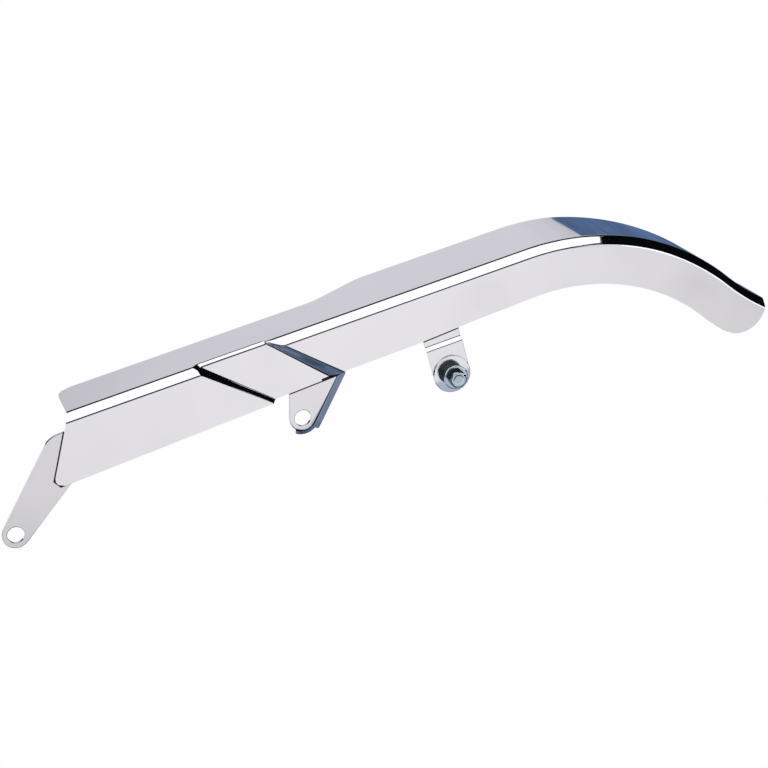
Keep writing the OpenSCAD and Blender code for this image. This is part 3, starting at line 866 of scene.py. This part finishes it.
# What the chrome mirrors: each card is a rectangle on a far wall or ceiling, as slopes from the part.
# Name, facing axis, slopes from and to of the first other axis, of the second, colour (none: the cloth),
# strength, and the middle and the fall-off of its light along both slopes
EVEN = ((0, 0), (0, 0))
CARDS = (
    ("ceiling_softbox", "+Z", (-1.6, 0.9), (-1.6, -0.12), "ffffff", 1.25, *EVEN),
    ("cloth_on_wall", "+Y", (0.2, 0.8), (-0.8, 0.18), None, 1.0, *EVEN),
    ("rear_card", "+Y", (-1.2, 0.75), (0.165, 0.75), "d8d7de", 1.04, (0.28, 0.36), (2.2, 3.0)),
    ("rear_left_card", "+Y", (-2.5, -0.05), (-0.9, 0.1), "f4f3f5", 1.1, *EVEN),
    ("left_card", "-X", (-0.5, 2.0), (-0.9, -0.1), "f4f3f5", 1.1, *EVEN),
    ("left_top_card", "-X", (-1.0, 2.0), (0.3, 1.6), "f4f3f5", 1.1, *EVEN),
    ("head_card", "-Y", (-0.5, -0.05), (0.3, 0.6), "c9d3da", 1.0, *EVEN),
    ("low_gap", "-Y", (-1.6, 1.6), (-1.7, -0.5), "080b12", 1.0, *EVEN),
    ("front_card", "-Y", (-0.4, 3.0), (-0.52, -0.08), "efedef", 1.08, (0.2, -0.36), (1.5, 10.0)),
    ("side_card", "-Y", (0.45, 3.0), (-0.33, -0.05), "ffffff", 1.4, *EVEN),
    ("side_card_top", "-Y", (0.45, 0.88), (-0.1, 0.2), "ffffff", 1.4, *EVEN),
)
# A light blue cloth edge low in front, just where the large washer mirrors it
WASHER_CARD = ("-Y", (0.15, 0.36), (-0.62, -0.4465), "b4bfcf")
DARK_ROOM = "07080a"
# The blue cloth near the horizon, half way down and straight below
BLUE_CLOTH = ("4f6589", "8390ab", "4f5f7b")


def axes_of(tree, direction):
    """The three parts of a direction by their axis."""
    return dict(zip("XYZ", add_node(tree, "ShaderNodeSeparateXYZ", {0: direction}).outputs))


def card_mask(tree, parts, facing, first, second, middles, falls, soft):
    """One inside a card's rectangle and zero outside, and how bright the card is at that place.

    The direction's two slopes are compared with the card's edges, and the light falls with the square of
    their distance from the card's middle.
    """
    sign, axis = (1.0 if facing[0] == "+" else -1.0), facing[1]
    main = math_node(tree, "MULTIPLY", parts[axis], sign)
    safe = math_node(tree, "MAXIMUM", main, 1e-3)
    mask = math_node(tree, "GREATER_THAN", main, 1e-3)
    glow = None
    for other, (low, high), middle, fall in zip("XYZ".replace(axis, ""), (first, second), middles, falls):
        slope = math_node(tree, "DIVIDE", parts[other], safe)
        for edge, way in ((low, 1), (high, -1)):
            inside = add_node(tree, "ShaderNodeMapRange",
                              {"Value": slope, "From Min": edge - way * soft, "From Max": edge + way * soft},
                              interpolation_type="SMOOTHSTEP").outputs["Result"]
            mask = math_node(tree, "MULTIPLY", mask, inside)
        if fall:
            off = math_node(tree, "SUBTRACT", slope, float(middle))
            square = math_node(tree, "MULTIPLY", off, off)
            glow = math_node(tree, "MULTIPLY_ADD", square, -float(fall), glow or 1.0)
    return mask, glow


class GUARD_OT_studio(bpy.types.Operator):
    """Builds the pale floor, the soft lamps and the surroundings that the chrome mirrors"""
    bl_idname = "guard.studio"
    bl_label = "Studio"

    def execute(self, context):
        self.surroundings(context)
        self.floor(context)
        self.lamps(context)
        return {"FINISHED"}

    def surroundings(self, context):
        """Shows white to the camera, and to the chrome a dark room over a blue cloth, with the cards."""
        world = bpy.data.worlds.new("studio")
        world.use_nodes = True
        tree = world.node_tree
        tree.nodes.clear()
        direction = add_node(tree, "ShaderNodeTexCoord").outputs["Generated"]
        seen = self.cards(tree, direction)
        path = add_node(tree, "ShaderNodeLightPath").outputs
        mirrored, soft, white = [
            add_node(tree, "ShaderNodeBackground", {"Color": tone, "Strength": strength}).outputs[0]
            for tone, strength in ((seen, 1.0), ((0.8, 0.8, 0.82, 1), 0.55), ((1, 1, 1, 1), 1.0))]
        lit = add_node(tree, "ShaderNodeMixShader", {0: path["Is Glossy Ray"], 1: soft, 2: mirrored}).outputs[0]
        shown = add_node(tree, "ShaderNodeMixShader", {0: path["Is Camera Ray"], 1: lit, 2: white}).outputs[0]
        add_node(tree, "ShaderNodeOutputWorld", {"Surface": shown})
        context.scene.world = world

    def cards(self, tree, direction):
        """The colour in each direction: room and cloth first, then each card over it with ragged edges."""
        ragged = noise(tree, direction, 14.0, 5.0, "Color")
        centred = add_node(tree, "ShaderNodeVectorMath", {0: ragged, 1: [0.5] * 3}, operation="SUBTRACT")
        pushed = add_node(tree, "ShaderNodeVectorMath", {0: centred.outputs[0], 1: [0.22] * 3, 2: direction},
                          operation="MULTIPLY_ADD")
        parts = axes_of(tree, pushed.outputs[0])
        mottled = self.cloth(tree, direction, parts["Z"])
        above = spread(tree, parts["Z"], 0.03, 0.05)
        seen = blend(tree, above, mottled, (*linear(DARK_ROOM), 1))
        for _, facing, first, second, hex_value, strength, middles, falls in CARDS:
            mask, glow = card_mask(tree, parts, facing, first, second, middles, falls, 0.008)
            lit = (*[v * strength for v in linear(hex_value)], 1) if hex_value else mottled
            if glow:
                lit = add_node(tree, "ShaderNodeVectorMath", {0: lit[:3], "Scale": glow},
                               operation="SCALE").outputs[0]
            seen = blend(tree, mask, seen, lit)
        facing, first, second, hex_value = WASHER_CARD
        mask, _ = card_mask(tree, axes_of(tree, direction), facing, first, second, *EVEN, 0.0015)
        return blend(tree, mask, seen, (*linear(hex_value), 1))

    def cloth(self, tree, direction, height):
        """The blue cloth: three tones from the horizon downwards, with wide folds and a fine weave."""
        near, middle, below = [(*linear(c), 1) for c in BLUE_CLOTH]
        tone = below
        for tone_above, low, high in ((middle, -0.93, -0.8), (near, -0.6, -0.3)):
            tone = blend(tree, spread(tree, height, low, high), tone, tone_above)
        folds = spread(tree, noise(tree, direction, 8.0, 4.0), 0.3, 0.7, 0.65, 1.35)
        weave = spread(tree, noise(tree, direction, 120.0, 2.0), 0.3, 0.7, 0.8, 1.2)
        both = math_node(tree, "MULTIPLY", folds, weave)
        return add_node(tree, "ShaderNodeVectorMath", {0: tone, "Scale": both}, operation="SCALE").outputs[0]

    def floor(self, context):
        """Lays a wide pale floor well below the part, which hangs by its mounts."""
        half, depth = 6000, SHELL_LOW[2] - 600
        corners = np.array([[[x, y, depth] for y in (-half, half)] for x in (-half, half)])
        floor = surface("studio_floor", corners)
        material, tree = start_material("studio_paper")
        base = tuple(context.scene.guard_colours.floor)
        paper = add_node(tree, "ShaderNodeBsdfDiffuse", {"Color": (*base, 1)}).outputs[0]
        glow = add_node(tree, "ShaderNodeEmission", {"Color": (1, 1, 1, 1), "Strength": 1.0}).outputs[0]
        path = add_node(tree, "ShaderNodeLightPath")
        share = math_node(tree, "MULTIPLY", path.outputs["Is Camera Ray"], 0.98)
        mixed = add_node(tree, "ShaderNodeMixShader", {0: share, 1: paper, 2: glow}).outputs[0]
        add_node(tree, "ShaderNodeOutputMaterial", {"Surface": mixed})
        floor.data.materials.append(material)
        floor.visible_glossy = False

    def lamps(self, context):
        """Hangs two large soft lamps. The chrome mirrors the cards in their place."""
        middle = Vector((0.33, 0, 0.02))
        for name, place, size, power in (("overhead_lamp", (0.2, -0.5, 1.6), 1.4, 12),
                                         ("front_lamp", (0.1, -1.8, 0.3), 1.2, 6)):
            light = bpy.data.lights.new(name, "AREA")
            light.size, light.energy = size, power
            lamp = bpy.data.objects.new(name, light)
            lamp.location = place
            lamp.rotation_mode = "QUATERNION"
            lamp.rotation_quaternion = (middle - Vector(place)).to_track_quat("-Z", "Y")
            lamp.visible_glossy = False
            context.scene.collection.objects.link(lamp)


class GUARD_OT_camera(bpy.types.Operator):
    """Puts the camera where the photograph was taken from"""
    bl_idname = "guard.camera"
    bl_label = "Camera"

    def execute(self, context):
        data = bpy.data.cameras.new("photo_camera")
        data.sensor_width, data.lens = 36, 93.75
        data.clip_start, data.clip_end = 0.01, 50
        camera = bpy.data.objects.new("photo_camera", data)
        right = Vector(CAMERA_RIGHT).normalized()
        back = right.cross(Vector(CAMERA_UP)).normalized()
        turn = Matrix((right, back.cross(right).normalized(), back)).transposed().to_4x4()
        camera.matrix_world = Matrix.Translation(Vector(CAMERA_PLACE) * MM) @ turn
        context.scene.collection.objects.link(camera)
        context.scene.camera = camera
        context.scene.view_settings.view_transform = "Standard"
        return {"FINISHED"}


class GUARD_PT_panel(bpy.types.Panel):
    """Lists the operators that build the belt guard and its studio"""
    bl_idname = "GUARD_PT_panel"
    bl_label = "Belt guard"
    bl_space_type = "VIEW_3D"
    bl_region_type = "UI"
    bl_category = "Belt guard"

    def draw(self, context):
        for operator in OPERATORS:
            self.layout.operator(operator.bl_idname)
        for name in SETTINGS:
            group = getattr(context.scene, name)
            box = self.layout.box()
            for key in group.bl_rna.properties.keys():
                if key not in ("rna_type", "name"):
                    box.prop(group, key)


OPERATORS = (GUARD_OT_shell, GUARD_OT_tabs, GUARD_OT_strap, GUARD_OT_washers, GUARD_OT_rubber, GUARD_OT_bolt,
             GUARD_OT_studio, GUARD_OT_camera)
SETTINGS = {"guard_shell_sizes": GuardShellSizes, "guard_tab_sizes": TabSizes,
            "guard_fixing_sizes": FixingSizes, "guard_colours": FinishColours}


def register():
    """Registers the settings, the operators and the panel"""
    for group in SETTINGS.values():
        bpy.utils.register_class(group)
    for name, group in SETTINGS.items():
        setattr(bpy.types.Scene, name, PointerProperty(type=group))
    for cls in (*OPERATORS, GUARD_PT_panel):
        bpy.utils.register_class(cls)


def unregister():
    """Takes out all that register put in"""
    for cls in reversed((*OPERATORS, GUARD_PT_panel)):
        bpy.utils.unregister_class(cls)
    for name, group in SETTINGS.items():
        delattr(bpy.types.Scene, name)
        bpy.utils.unregister_class(group)


def main():
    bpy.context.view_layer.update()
    register()
    bpy.ops.guard.camera()
    bpy.ops.guard.shell()
    bpy.ops.guard.tabs()
    bpy.ops.guard.strap()
    bpy.ops.guard.washers()
    bpy.ops.guard.rubber()
    bpy.ops.guard.bolt()
    bpy.ops.guard.studio()
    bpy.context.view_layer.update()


if __name__ == "__main__":
    main()
